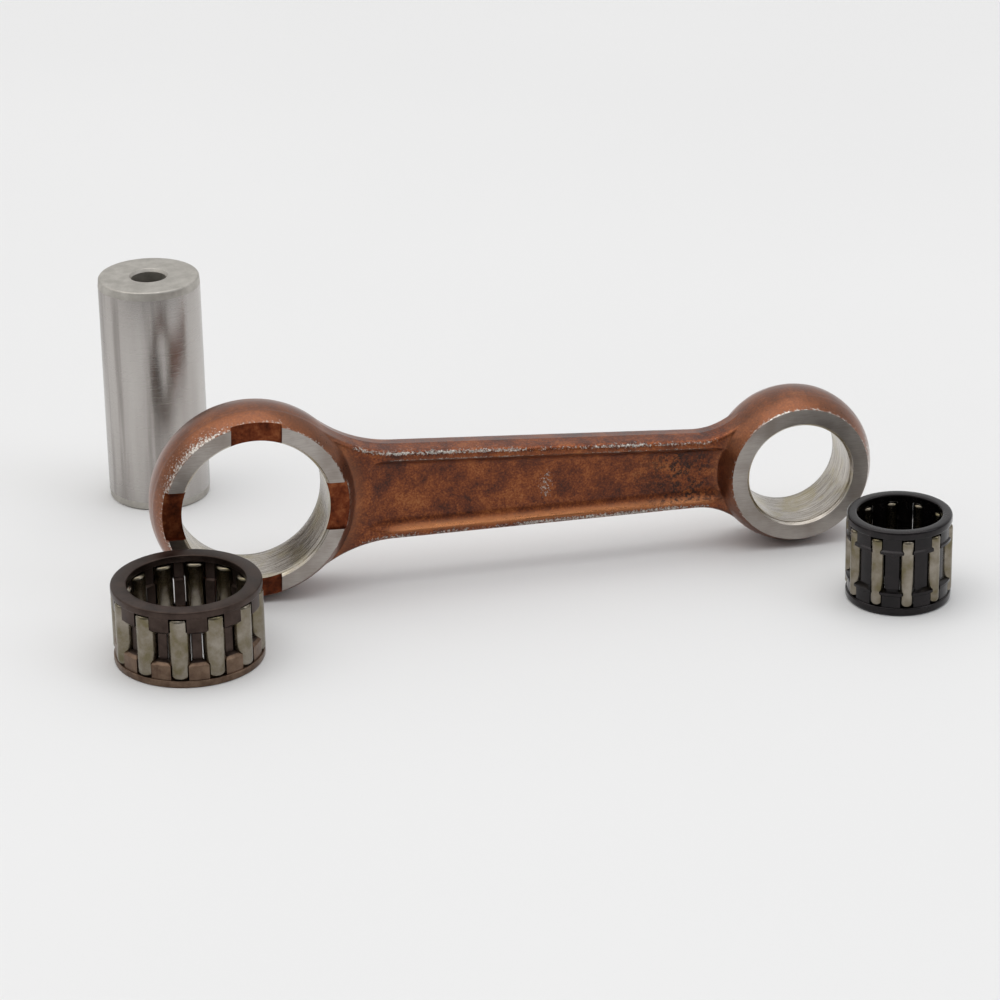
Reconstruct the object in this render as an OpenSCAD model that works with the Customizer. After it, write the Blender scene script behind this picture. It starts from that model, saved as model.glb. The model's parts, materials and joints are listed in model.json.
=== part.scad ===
// Connecting rod kit of a small two-stroke engine, laid out on a bench.
// The rod stands on the rims of its two eyes. The crank pin stands behind its big end.
// A caged needle bearing for each eye stands in front of it.
// Origin: centre of the big-end bore. X runs from big end to small end, Y along the bores.

/* [Rod] */
// Distance between the two bore centres
centre_distance = 105; // [85:1:130]

/* [Big end] */
// Radial wall between the bore and the highest line of the rim
big_wall = 5.3; // [4.6:0.05:8]
// How far the crowned rim falls away from its middle to each face
big_crown_drop = 2.1; // [1:0.05:2.8]
// Width across the ground faces
big_eye_width = 12.5; // [9:0.1:16]
// Number of oil slots across each ground face
oil_slot_count = 4; // [2:1:6]
// Width of an oil slot
oil_slot_width = 9.5; // [5:0.5:11]
// Depth of an oil slot
oil_slot_depth = 0.6; // [0.3:0.1:1]

/* [Small end] */
// Radial wall between the bore and the highest line of the rim
small_wall = 5.3; // [4.2:0.05:7]
// How far the crowned rim falls away from its middle to each face
small_crown_drop = 1.9; // [0.8:0.05:2.6]
// Width across the ground faces
small_eye_width = 13; // [9:0.1:16]

/* [Eye edges] */
// Chamfer at both mouths of each bore
bore_chamfer = 0.5; // [0.2:0.1:1]

/* [Beam] */
// Height that the beam would have at the big-end centre
beam_height_big = 20.4; // [17:0.2:24]
// Height that the beam would have at the small-end centre
beam_height_small = 13.4; // [11:0.2:16]
// Thickness across the two flanges
beam_thickness = 7; // [5:0.2:8.5]
// Thickness of the web between the recesses
web_thickness = 3.6; // [2.4:0.2:4.4]
// Height of each flange beside the recess
flange_height = 2.3; // [1.6:0.1:3]
// Radius of the flare from the beam into the big eye
big_flare_r = 24; // [12:1:30]
// Radius of the flare from the beam into the small eye
small_flare_r = 12; // [6:1:16]
// Gap from the big eye's rim to the start of the recess
recess_gap_big = 3.2; // [1:0.1:5]

/* [Crank pin] */
// Diameter of the crank pin
pin_d = 20; // [16:0.1:24]
// Length of the crank pin
pin_length = 46; // [36:1:56]
// Diameter of the centre hole
pin_hole_d = 6.8; // [4:0.2:9]
// Length of the tapered lead at each end
pin_lead_length = 1.6; // [1:0.1:3]
// Radial fall of the tapered lead
pin_lead_drop = 0.12; // [0.05:0.01:0.4]
// Chamfer of the outer edges and of the centre hole
pin_chamfer = 0.4; // [0.2:0.1:0.8]

/* [Big-end bearing] */
// Diameter of a roller; the big-end bore is the pin with a roller on each side
big_roller_d = 4; // [3:0.1:5]
// Width of the cage
big_cage_width = 15; // [12:0.5:20]
// Number of rollers
big_roller_count = 12; // [9:1:12]
// Height of each end ring
big_ring_height = 1.35; // [1:0.05:2]
// Height of the pads between the rollers, next to each end ring
big_pad_height = 3.4; // [2:0.1:4.2]
// Extra radial room inside the end rings, so that only the rollers touch the pin
big_ring_relief = 0.5; // [0.2:0.1:0.8]
// Step in from the outside of an end ring to its pads
big_pad_step = 0.3; // [0.2:0.05:0.8]
// Step out from the inside of an end ring to the back of its pads
big_pad_back_step = 0.4; // [0.2:0.05:0.5]
// Radial thickness of the waist
big_waist_wall = 1.2; // [0.8:0.1:1.6]
// Width of each bar at the inside of the waist
big_bar_width = 0.75; // [0.5:0.05:0.8]

/* [Small-end bearing] */
// Diameter of the gudgeon pin that the rollers run on
gudgeon_pin_d = 15; // [12.5:0.1:18]
// Diameter of a roller; the small-end bore is the gudgeon pin with a roller on each side
small_roller_d = 2.5; // [2:0.1:3]
// Width of the cage
small_cage_width = 17; // [14:0.5:22]
// Number of rollers
small_roller_count = 10; // [8:1:11]
// Height of each end ring
small_ring_height = 1.6; // [1.2:0.1:2.2]
// Height of the band between each end ring and its ridge
small_band_height = 2.4; // [1.6:0.1:3]
// Height of each ridge that clasps the rollers
ridge_height = 0.7; // [0.5:0.1:1]
// Step in from the outside of the ridges to the bands
small_band_step = 0.3; // [0.1:0.05:0.5]
// Step in from the outside of the ridges to the waist
small_waist_step = 0.85; // [0.6:0.05:1]

/* [Fits] */
// Radial gap between an end ring and the bore it runs in
cage_clearance = 0.15; // [0.1:0.05:0.3]
// Radial gap between an end ring and the pin inside it
ring_pin_gap = 0.4; // [0.3:0.05:0.7]
// Radial gap between a roller and its pocket
pocket_clearance = 0.06; // [0.03:0.01:0.09]
// Gap between a roller's end and its ring
roller_end_gap = 0.15; // [0.1:0.05:0.3]

/* [Layout] */
// Distance from the crank pin's axis to the big bore's centre, along the rod
pin_x = -11; // [-30:1:10]
// Distance of the crank pin's axis behind the rod
pin_y = 51.5; // [35:0.5:80]
// Place of the big-end bearing along the rod, from the big bore's centre
big_bearing_x = -16; // [-30:1:5]
// Clear gap between the big-end bearing and the big eye's face
big_bearing_gap = 3.4; // [1:0.1:20]
// Place of the small-end bearing along the rod, past the small bore's centre
small_bearing_x = 12; // [0:1:30]
// Clear gap between the small-end bearing and the small eye's face
small_bearing_gap = 14.5; // [1:0.5:40]
// Turn of the big-end bearing about its axis
big_bearing_turn = 29.5; // [0:0.5:30]
// Turn of the small-end bearing about its axis
small_bearing_turn = 28.6; // [0:0.1:36]

/* [Hidden] */
$fn = 96;
// Cuts run past the faces that they open by this much
over = 1;
// Chamfer at the ends of every roller
roller_edge = 0.3;
// A cage's rim ends this much short of the pocket floors, and a slit this much short of the pads
rim_step = 0.2;
rod_colour = "#9a5a3c";
pin_colour = "#b9b5b0";
cage_colour = "#453a36";
small_cage_colour = "#2a2829";
roller_colour = "#8f8b83";

// Each bore holds its pin with a roller on each side
pin_r = pin_d / 2;
gudgeon_r = gudgeon_pin_d / 2;
big_roller_r = big_roller_d / 2;
small_roller_r = small_roller_d / 2;
big_bore_r = pin_r + big_roller_d;
big_outer_r = big_bore_r + big_wall;
big_face_r = big_outer_r - big_crown_drop;
small_bore_r = gudgeon_r + small_roller_d;
small_outer_r = small_bore_r + small_wall;
small_face_r = small_outer_r - small_crown_drop;

// Both rims touch the bench, so the rod leans towards its smaller eye
bench_z = -big_outer_r;
rod_tilt = asin((big_outer_r - small_outer_r) / centre_distance);
small_x = centre_distance * cos(rod_tilt);

// Half height and slope of the beam's straight edge
beam_slope = (beam_height_big - beam_height_small) / 2 / centre_distance;
beam_angle = atan(beam_slope);

big_pitch_r = pin_r + big_roller_r;
big_pocket_r = big_roller_r + pocket_clearance;
big_ring_outer_r = big_bore_r - cage_clearance;
big_ring_inner_r = pin_r + ring_pin_gap + big_ring_relief;
big_pad_r = big_ring_outer_r - big_pad_step;
big_slit_half = big_ring_inner_r * sin(180 / big_roller_count - asin(big_bar_width / 2 / big_ring_inner_r));
big_roller_length = big_cage_width - 2 * (big_ring_height + roller_end_gap);

small_pitch_r = gudgeon_r + small_roller_r;
small_pocket_r = small_roller_r + pocket_clearance;
small_ring_outer_r = small_bore_r - cage_clearance;
small_ring_inner_r = gudgeon_r + ring_pin_gap;
small_band_r = small_ring_outer_r - small_band_step;
small_waist_r = small_ring_outer_r - small_waist_step;
small_roller_length = small_cage_width - 2 * (small_ring_height + roller_end_gap);

big_bearing_y = -(big_eye_width / 2 + big_bearing_gap + big_bore_r);
small_bearing_y = -(small_eye_width / 2 + small_bearing_gap + small_bore_r);

function two_digits(n) = n < 10 ? str("0", n) : str(n);

BIG_ROLLERS = [for (i = [1:big_roller_count]) str("big_end_roller_", two_digits(i))];
SMALL_ROLLERS = [for (i = [1:small_roller_count]) str("small_end_roller_", two_digits(i))];

// ---- Rod: one forging, drawn along its own axis and then laid to its tilt ----

// Sweeps an outline in the rod's plane across the rod's width
module across_rod(width) {
    rotate([90, 0, 0])
        linear_extrude(height = width, center = true)
            children();
}

// Ring with a barrel-shaped rim, as forged and then ground on both faces
module eye(bore_r, outer_r, crown_drop, width) {
    crown_r = (pow(width / 2, 2) + pow(crown_drop, 2)) / (2 * crown_drop);
    rotate([90, 0, 0])
        rotate_extrude()
            intersection() {
                translate([bore_r - over, -width / 2])
                    square([outer_r, width]);
                translate([outer_r - crown_r, 0])
                    circle(r = crown_r);
            }
}

// Straight bore with a chamfer at each mouth
module bore_cut(bore_r, width) {
    rotate([90, 0, 0]) {
        cylinder(r = bore_r, h = width + 2 * over, center = true);
        for (side = [0, 1])
            mirror([0, 0, side])
                translate([0, 0, width / 2 - bore_chamfer])
                    cylinder(r1 = bore_r, r2 = bore_r + bore_chamfer + over, h = bore_chamfer + over);
    }
}

// Web of metal between an eye and the beam's upper edge, hollowed to the flare's radius.
// The beam's edge lies at a height of edge above the eye's centre.
module flare(outer_r, edge, flare_r) {
    reach = sqrt(pow(outer_r + flare_r, 2) - pow(edge + flare_r, 2));
    touch = outer_r / (outer_r + flare_r);
    difference() {
        polygon([[0, 0], [reach * touch, (edge + flare_r) * touch], [reach, edge], [reach, 0]]);
        translate([reach, edge + flare_r])
            circle(r = flare_r);
    }
}

// Outline of the beam with its flares; inset draws the same beam smaller all round
module beam_outline(inset = 0) {
    half_big = beam_height_big / 2 - inset;
    half_small = beam_height_small / 2 - inset;
    polygon([[0, -half_big], [centre_distance, -half_small], [centre_distance, half_small], [0, half_big]]);
}

module beam_flares() {
    edge_big = beam_height_big / 2 * cos(beam_angle);
    edge_small = beam_height_small / 2 * cos(beam_angle);
    for (side = [0, 1])
        mirror([0, side]) {
            rotate(-beam_angle)
                flare(big_outer_r, edge_big, big_flare_r);
            translate([centre_distance, 0])
                mirror([1, 0])
                    rotate(beam_angle)
                        flare(small_outer_r, edge_small, small_flare_r);
        }
}

// Recess on one side of the beam: its ends follow the two eyes
module recess_cut() {
    depth = (beam_thickness - web_thickness) / 2;
    translate([0, -(web_thickness / 2 + (depth + over) / 2), 0])
        across_rod(depth + over)
            difference() {
                beam_outline(flange_height);
                circle(r = big_outer_r + recess_gap_big);
                translate([centre_distance, 0])
                    circle(r = small_face_r);
            }
}

// Oil slots across one ground face of the big eye; each runs out where the rim falls away
module oil_slots() {
    translate([0, -(big_eye_width / 2 - oil_slot_depth / 2 + over / 2), 0])
        across_rod(oil_slot_depth + over)
            for (i = [0:oil_slot_count - 1])
                rotate(i * 360 / oil_slot_count)
                    translate([0, -oil_slot_width / 2])
                        square([big_outer_r + over, oil_slot_width]);
}

module rod() {
    color(rod_colour)
        rotate([0, rod_tilt, 0])
            difference() {
                union() {
                    eye(big_bore_r, big_outer_r, big_crown_drop, big_eye_width);
                    translate([centre_distance, 0, 0])
                        eye(small_bore_r, small_outer_r, small_crown_drop, small_eye_width);
                    across_rod(beam_thickness) {
                        beam_outline();
                        beam_flares();
                    }
                }
                bore_cut(big_bore_r, big_eye_width);
                translate([centre_distance, 0, 0])
                    bore_cut(small_bore_r, small_eye_width);
                for (side = [0, 1])
                    mirror([0, side, 0]) {
                        recess_cut();
                        oil_slots();
                    }
            }
}

// ---- Crank pin: hardened and ground, with a tapered lead at both ends ----

module crank_pin() {
    hole_r = pin_hole_d / 2;
    end_r = pin_r - pin_lead_drop;
    color(pin_colour)
        translate([pin_x, pin_y, bench_z])
            rotate_extrude()
                polygon([
                    [hole_r, pin_chamfer],
                    [hole_r + pin_chamfer, 0],
                    [end_r - pin_chamfer, 0],
                    [end_r, pin_chamfer],
                    [pin_r, pin_lead_length],
                    [pin_r, pin_length - pin_lead_length],
                    [end_r, pin_length - pin_chamfer],
                    [end_r - pin_chamfer, pin_length],
                    [hole_r + pin_chamfer, pin_length],
                    [hole_r, pin_length - pin_chamfer]
                ]);
}

// ---- Bearings: steel cages that hold loose rollers ----

module at_big_bearing() {
    translate([big_bearing_x, big_bearing_y, bench_z])
        rotate(big_bearing_turn)
            children();
}

module at_small_bearing() {
    translate([small_x + small_bearing_x, small_bearing_y, bench_z])
        rotate(small_bearing_turn)
            children();
}

// Ring between two radii and two heights
module ring(inner_r, outer_r, low, high) {
    rotate_extrude()
        translate([inner_r, low])
            square([outer_r - inner_r, high - low]);
}

// Puts a child at each roller's place; the cage is split evenly about its X axis
module each_pocket(count, pitch_r) {
    for (i = [0:count - 1])
        rotate((i + 0.5) * 360 / count)
            translate([pitch_r, 0, 0])
                children();
}

// Roller with a chamfered edge at each end
module roller(roller_r, length) {
    rotate_extrude()
        polygon([
            [0, 0],
            [roller_r - roller_edge, 0],
            [roller_r, roller_edge],
            [roller_r, length - roller_edge],
            [roller_r - roller_edge, length],
            [0, length]
        ]);
}

// The wall steps in at the waist, so that the cage is guided by its rings and holds oil
module big_end_cage() {
    waist_low = big_ring_height + big_pad_height;
    waist_high = big_cage_width - waist_low;
    pad_inner_r = big_ring_inner_r + big_pad_back_step;
    waist_outer_r = big_ring_inner_r + big_waist_wall;
    slit_height = waist_high - waist_low - 2 * rim_step;
    color(cage_colour)
        at_big_bearing()
            difference() {
                union() {
                    for (side = [0, 1])
                        translate([0, 0, side * big_cage_width])
                            mirror([0, 0, side]) {
                                ring(big_ring_inner_r, big_ring_outer_r, 0, big_ring_height - rim_step);
                                ring(pad_inner_r, big_pad_r, big_ring_height / 2, waist_low);
                            }
                    ring(big_ring_inner_r, waist_outer_r, waist_low - over, waist_high + over);
                }
                each_pocket(big_roller_count, big_pitch_r) {
                    translate([0, 0, big_ring_height])
                        cylinder(r = big_pocket_r, h = big_cage_width - 2 * big_ring_height);
                    translate([-big_roller_r - over, -big_slit_half, waist_low + rim_step])
                        cube([2 * (big_roller_r + over), 2 * big_slit_half, slit_height]);
                }
            }
}

module big_end_roller(i) {
    color(roller_colour)
        at_big_bearing()
            rotate((i - 0.5) * 360 / big_roller_count)
                translate([big_pitch_r, 0, big_ring_height + roller_end_gap])
                    roller(big_roller_r, big_roller_length);
}

// Two outer ridges clasp the rollers; the waist between them is thinner
module small_end_cage() {
    band_top = small_ring_height + small_band_height;
    ridge_top = band_top + ridge_height;
    rim_top = small_ring_height - rim_step;
    color(small_cage_colour)
        at_small_bearing()
            difference() {
                union() {
                    ring(small_ring_inner_r, small_waist_r, 0, small_cage_width);
                    for (side = [0, 1])
                        translate([0, 0, side * small_cage_width])
                            mirror([0, 0, side]) {
                                ring(small_ring_inner_r, small_ring_outer_r, 0, rim_top);
                                ring(small_ring_inner_r, small_band_r, small_ring_height / 2, ridge_top);
                                ring(small_ring_inner_r, small_ring_outer_r, band_top, ridge_top);
                            }
                }
                each_pocket(small_roller_count, small_pitch_r)
                    translate([0, 0, small_ring_height])
                        cylinder(r = small_pocket_r, h = small_cage_width - 2 * small_ring_height);
            }
}

module small_end_roller(i) {
    color(roller_colour)
        at_small_bearing()
            rotate((i - 0.5) * 360 / small_roller_count)
                translate([small_pitch_r, 0, small_ring_height + roller_end_gap])
                    roller(small_roller_r, small_roller_length);
}

rod();
crank_pin();
big_end_cage();
small_end_cage();
for (i = [1:big_roller_count])
    big_end_roller(i);
for (i = [1:small_roller_count])
    small_end_roller(i);
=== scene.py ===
import json
import math

import bmesh
import bpy
import numpy as np
from mathutils import Matrix, Vector, noise


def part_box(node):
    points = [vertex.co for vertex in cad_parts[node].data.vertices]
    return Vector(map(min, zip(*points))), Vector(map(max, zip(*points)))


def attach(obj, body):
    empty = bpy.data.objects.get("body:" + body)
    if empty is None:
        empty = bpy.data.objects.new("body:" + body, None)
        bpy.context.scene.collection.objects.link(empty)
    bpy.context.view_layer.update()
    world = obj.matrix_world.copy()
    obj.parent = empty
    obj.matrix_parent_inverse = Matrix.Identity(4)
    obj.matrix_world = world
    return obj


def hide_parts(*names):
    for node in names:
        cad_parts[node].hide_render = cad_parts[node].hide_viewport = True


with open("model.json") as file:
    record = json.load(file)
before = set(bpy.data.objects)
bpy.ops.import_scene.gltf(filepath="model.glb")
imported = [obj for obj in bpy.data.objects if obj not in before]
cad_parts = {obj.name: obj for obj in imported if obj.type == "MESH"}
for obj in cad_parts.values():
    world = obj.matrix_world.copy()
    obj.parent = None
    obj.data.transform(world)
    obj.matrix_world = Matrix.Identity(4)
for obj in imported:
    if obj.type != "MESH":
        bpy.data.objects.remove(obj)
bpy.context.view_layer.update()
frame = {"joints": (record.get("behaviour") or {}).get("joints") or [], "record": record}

# ---------------------------------------------------------------------------------------------
# Connecting rod. A steel drop forging with an I-beam shank, copper plated to keep the shank soft
# while the eyes are case hardened. Afterwards both faces of each eye are ground flat and the
# bores are honed, so bare steel shows there and nowhere else.

MM = 0.001
mounts = {m["name"]: m for m in frame["record"]["mounts"]}
big_centre = np.array(mounts["big_end_bore"]["pos_m"]) / MM
small_centre = np.array(mounts["small_end_bore"]["pos_m"]) / MM
big_bore_r = mounts["big_end_bore"]["dims"]["r_mm"]
small_bore_r = mounts["small_end_bore"]["dims"]["r_mm"]
bench_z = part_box("rod")[0][2] / MM
centre_distance = float(np.linalg.norm(small_centre - big_centre))
rod_tilt = math.atan2(big_centre[2] - small_centre[2], small_centre[0] - big_centre[0])
big_rim_r = big_centre[2] - bench_z
small_rim_r = small_centre[2] - bench_z
bore_chamfer = 0.5
big_half = mounts["big_end_bore"]["dims"]["length_mm"] / 2 + bore_chamfer
small_half = mounts["small_end_bore"]["dims"]["length_mm"] / 2 + bore_chamfer
big_crown_drop = 2.1
small_crown_drop = 1.9
big_face_r = big_rim_r - big_crown_drop
small_face_r = small_rim_r - small_crown_drop

# The shank in its own plane: straight edges that converge, flares into the eyes, and a recess
edge_at_big = 10.2
edge_at_small = 6.7
big_flare_r = 24.0
small_flare_r = 12.0
flange_half = 3.5
flange_corner = 1.0
draft_run = 0.3
recess_depth = 1.7
recess_wall = 2.3
flange_height = 2.25
flange_taper = 0.005
recess_gap_big = 2.7
recess_lead_small = 0.5
recess_ramp_big = 0.4
recess_ramp_small = 0.42
recess_corner = 2.2
recess_curve = 2.2
blend_r = 2.6


def arc(centre, radius, start, end, steps):
    """Points on an arc, from start to end in radians, both ends included."""
    angle = np.linspace(start, end, steps + 1)
    return np.stack([centre[0] + radius * np.cos(angle), centre[1] + radius * np.sin(angle)], -1)


def flare_points(rim_r, edge, slope, radius):
    """Where a flare of that radius touches a rim at the origin and an edge that falls by slope."""
    lean = math.atan(slope)
    height = edge * math.cos(lean)
    reach = math.sqrt((rim_r + radius) ** 2 - (height + radius) ** 2)
    turn = np.array([[math.cos(lean), math.sin(lean)], [-math.sin(lean), math.cos(lean)]])
    centre = turn @ np.array([reach, height + radius])
    return centre, centre * rim_r / (rim_r + radius), turn @ np.array([reach, height])


slope = (edge_at_big - edge_at_small) / centre_distance
flare_big, on_big, off_big = flare_points(big_rim_r, edge_at_big, slope, big_flare_r)
flare_small, on_small, off_small = flare_points(small_rim_r, edge_at_small, -slope, small_flare_r)
for point in (flare_small, on_small, off_small):
    point[0] = centre_distance - point[0]


def heading(point, centre):
    return math.atan2(point[1] - centre[1], point[0] - centre[0])


# Outer line of the upper half of the forging, and the inner line that its grid runs in to
origin = np.zeros(2)
far_centre = np.array([centre_distance, 0.0])
touch_big = heading(on_big, origin)
touch_small = heading(on_small, far_centre)
flare_steps, shank_steps = 64, 120
round_big = arc(origin, big_rim_r, math.pi, touch_big, 72)
round_small = arc(far_centre, small_rim_r, touch_small, 0, 60)
bend_big = arc(flare_big, big_flare_r, heading(on_big, flare_big), heading(off_big, flare_big), flare_steps)
bend_small = arc(flare_small, small_flare_r, heading(off_small, flare_small),
                 heading(on_small, flare_small), flare_steps)
straight = np.linspace(off_big, off_small, shank_steps + 1)
outer_line = np.concatenate([round_big, bend_big[1:], straight[1:], bend_small[1:], round_small[1:]])

face_steps = 2 * flare_steps // 3
level_steps = flare_steps - face_steps


def level(start, end, steps):
    """Points along the rod's middle line, both ends included."""
    return np.stack([np.linspace(start, end, steps + 1), np.zeros(steps + 1)], -1)


inner_big = np.concatenate([
    arc(origin, big_face_r, math.pi, touch_big, 72),
    arc(origin, big_face_r, touch_big, 0, face_steps)[1:],
    level(big_face_r, off_big[0], level_steps)[1:],
])
inner_shank = np.stack([straight[:, 0], np.zeros(shank_steps + 1)], -1)[1:]
inner_small = np.concatenate([
    level(off_small[0], centre_distance - small_face_r, level_steps)[1:],
    arc(far_centre, small_face_r, math.pi, touch_small, face_steps)[1:],
    arc(far_centre, small_face_r, touch_small, 0, 60)[1:],
])
inner_line = np.concatenate([inner_big, inner_shank, inner_small])


def smooth_max(a, b, k):
    h = np.clip(0.5 + 0.5 * (a - b) / k, 0, 1)
    return b * (1 - h) + a * h + k * h * (1 - h)


def smooth_step(t):
    t = np.clip(t, 0, 1)
    return t * t * (3 - 2 * t)


def crown(r, rim_r, drop, half):
    """Half width of a barrel-shaped rim at a radius; it falls away outside the rim."""
    crown_r = (half ** 2 + drop ** 2) / (2 * drop)
    inside = np.sqrt(np.maximum(crown_r ** 2 - (r - rim_r + crown_r) ** 2, 0))
    return np.where(r <= rim_r, inside, 2 * (rim_r - r))


def flange(e):
    """Half thickness of the shank at a distance e inside its outline: draft, then a round corner."""
    rise = flange_half - flange_corner
    round_part = np.sqrt(np.maximum(1 - (1 - (e - draft_run) / flange_corner) ** 2, 0)) * flange_corner
    inner = np.where(e < draft_run + flange_corner, rise + round_part, flange_half)
    return np.where(e < draft_run, rise * e / draft_run, inner)


def recess(x, z):
    """How deep the recess is, from 0 to 1, with round corners and long ramps towards the eyes."""
    side = edge_at_big - slope * x - flange_height + flange_taper * x - np.abs(z)
    near = (np.hypot(x, z) - big_rim_r - recess_gap_big) * recess_ramp_big
    far = (np.hypot(x - centre_distance, z) - small_face_r + recess_lead_small) * recess_ramp_small
    inside = -smooth_max(smooth_max(-side, -near, recess_corner), -far, recess_corner)
    rest = 1 - np.clip(inside / recess_wall, 0, 1)
    return 1 - rest ** recess_curve


# Distance of each point to the outline, found against a fine copy of that outline
ray_steps = 46
ray = (np.arange(ray_steps + 1) / ray_steps) ** 1.8
grid = outer_line[:, None, :] + (inner_line - outer_line)[:, None, :] * ray[None, :, None]
gx, gz = grid[..., 0], grid[..., 1]
outline = np.concatenate([np.linspace(a, b, 6)[:-1] for a, b in zip(outer_line[:-1], outer_line[1:])])
edge_distance = np.empty(gx.shape)
for row in range(len(gx)):
    away = np.hypot(gx[row][:, None] - outline[None, :, 0], gz[row][:, None] - outline[None, :, 1])
    edge_distance[row] = away.min(1)
edge_distance[:, 0] = 0

r_big = np.hypot(gx, gz)
r_small = np.hypot(gx - centre_distance, gz)
shank = flange(edge_distance) - recess_depth * recess(gx, gz)
soften = blend_r * np.minimum(1, edge_distance / 1.6) + 1e-4
half_width = smooth_max(crown(r_big, big_rim_r, big_crown_drop, big_half), shank, soften)
half_width = smooth_max(crown(r_small, small_rim_r, small_crown_drop, small_half), half_width, soften)
half_width[:, 0] = 0
on_big_face = np.hypot(inner_line[:, 0], inner_line[:, 1]) < big_face_r + 1e-6
on_small_face = np.hypot(inner_line[:, 0] - centre_distance, inner_line[:, 1]) < small_face_r + 1e-6
half_width[on_big_face, -1] = big_half
half_width[on_small_face, -1] = small_half

slot_half = 4.75
slot_depth = 0.6

# Wear: 1 on edges that rub, kept with the mesh for the plating to read. The flanges' outer corners
# and the inner corner of the recess are rubbed, the lower ones most, and so is the rim of each face.
off_eyes = smooth_step((r_big - big_rim_r + 1) / 5) * smooth_step((r_small - small_rim_r) / 4)
recess_side = edge_at_big - slope * gx - flange_height + flange_taper * gx - gz
inner_corner = 0.74 * np.exp(-((recess_side / 0.35) ** 2)) * smooth_step((r_big - big_rim_r - 4) / 5)
upper_corner = 0.86 * np.exp(-(((edge_distance - 0.75) / 0.5) ** 2)) * off_eyes
lower_corner = 0.8 * np.exp(-(((edge_distance - 0.95) / 0.85) ** 2)) * off_eyes
far_side = smooth_step((-gx / np.maximum(r_big, 1) + 0.35) / 1.1)
big_rub = np.exp(-np.abs(r_big - big_face_r) / (0.3 + 0.9 * far_side)) * (1.0 + 0.15 * far_side)
small_rub = 1.1 * np.exp(-np.abs(r_small - small_face_r) / 0.3)
right_rub = 0.9 * smooth_step((gx - centre_distance - 10.5) / 4)
slot_lip_r = big_face_r + 0.55
across_slot = np.minimum(np.abs(gx), np.abs(gz)) / slot_half
slot_rub = 0.95 * np.exp(-np.abs(r_big - slot_lip_r) / 0.3) * smooth_step((1.15 - across_slot) * 5)
common = np.maximum.reduce([big_rub, small_rub, right_rub, slot_rub])
upper_wear = np.maximum.reduce([upper_corner, inner_corner * off_eyes, common])
lower_wear = np.maximum(lower_corner, common)
# The lower inner corner keeps its copper but is polished, and is painted lighter there: a painted
# highlight where that corner catches the light from above. Pits spread over the recess's far end
polish = np.exp(-(((recess_side - 0.15) / 0.55) ** 2)) * smooth_step((r_big - big_rim_r - 5) / 6) * off_eyes
pitting = np.exp(-(((gx - 83) / 8) ** 2)) * smooth_step(edge_distance - 1.6)
pitting = pitting * smooth_step((r_small - small_rim_r + 1) / 3)
# The rims of the eyes are tumbled smoother than the shank; their copper is also painted flatter
# and greyer, a painted sheen
tumbled = 1 - smooth_step((r_big - big_rim_r + 1) / 4) * smooth_step((r_small - small_rim_r + 1) / 3)
upper_marks = np.stack([upper_wear, 0.25 * polish, pitting, tumbled], -1)
lower_marks = np.stack([lower_wear, polish, pitting, tumbled], -1)

PLATED, GROUND, HONED, SLOT = range(4)
rod_verts, rod_faces, rod_kinds, rod_marks = [], [], [], []


def add_strip(points, upper, lower, kind):
    """Adds a grid of points [row, column, xyz] of the upper front quarter, and its three mirrors."""
    rows, columns = points.shape[:2]
    for flip_y in (-1, 1):
        for flip_z in (-1, 1):
            start = len(rod_verts)
            rod_verts.extend((points * (1, flip_y, flip_z)).reshape(-1, 3))
            rod_marks.extend((upper if flip_z > 0 else lower).reshape(-1, 4))
            for i in range(rows - 1):
                for j in range(columns - 1):
                    a = start + i * columns + j
                    rod_faces.append((a, a + 1, a + columns + 1, a + columns))
                    rod_kinds.append(kind)


def forged(points):
    """Leaves the die's slight unevenness on the forged skin, but not on its outline or faces."""
    out = points.copy()
    for i in range(out.shape[0]):
        for j in range(1, out.shape[1] - 1):
            x, y, z = out[i, j]
            spot = Vector((x, y, z))
            swell = noise.noise(spot * 0.35) * 0.05 + noise.noise(spot * 1.3) * 0.022
            out[i, j, 1] += swell * min(1, j / 10, (out.shape[1] - 1 - j) / 6)
    return out


body_grid = np.stack([gx, half_width, gz], -1)
add_strip(forged(body_grid), upper_marks, lower_marks, PLATED)


def add_eye(centre_x, face_line, half, bore_r):
    """Ground face, chamfer and bore, running in from the face's outer circle."""
    angle = np.arctan2(face_line[:, 1], face_line[:, 0] - centre_x)
    radius = np.hypot(face_line[:, 0] - centre_x, face_line[:, 1])

    def rings(profile, kind):
        points = np.array([[(centre_x + r * np.cos(a), y, r * np.sin(a)) for r, y in profile(r0)]
                           for a, r0 in zip(angle, radius)])
        unmarked = np.zeros(points.shape[:2] + (4,))
        add_strip(points, unmarked, unmarked, kind)

    lip = bore_r + bore_chamfer
    foot = half - bore_chamfer - 0.12
    wall = [(lip, half), (bore_r + 0.12, foot + 0.19)]
    wall += [(bore_r, foot * t) for t in (1, 0.75, 0.5, 0.25, 0)]
    rings(lambda r0: [(r0 + (lip - r0) * t, half) for t in (0, 0.33, 0.67, 1)], GROUND)
    rings(lambda r0: wall, HONED)


add_eye(0, inner_line[on_big_face], big_half, big_bore_r)
add_eye(centre_distance, inner_line[on_small_face], small_half, small_bore_r)


def hex_colour(code):
    """Linear colour from an sRGB hex value."""
    parts = [int(code[i:i + 2], 16) / 255 for i in (1, 3, 5)]
    return [p / 12.92 if p <= 0.04045 else ((p + 0.055) / 1.055) ** 2.4 for p in parts] + [1.0]


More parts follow.
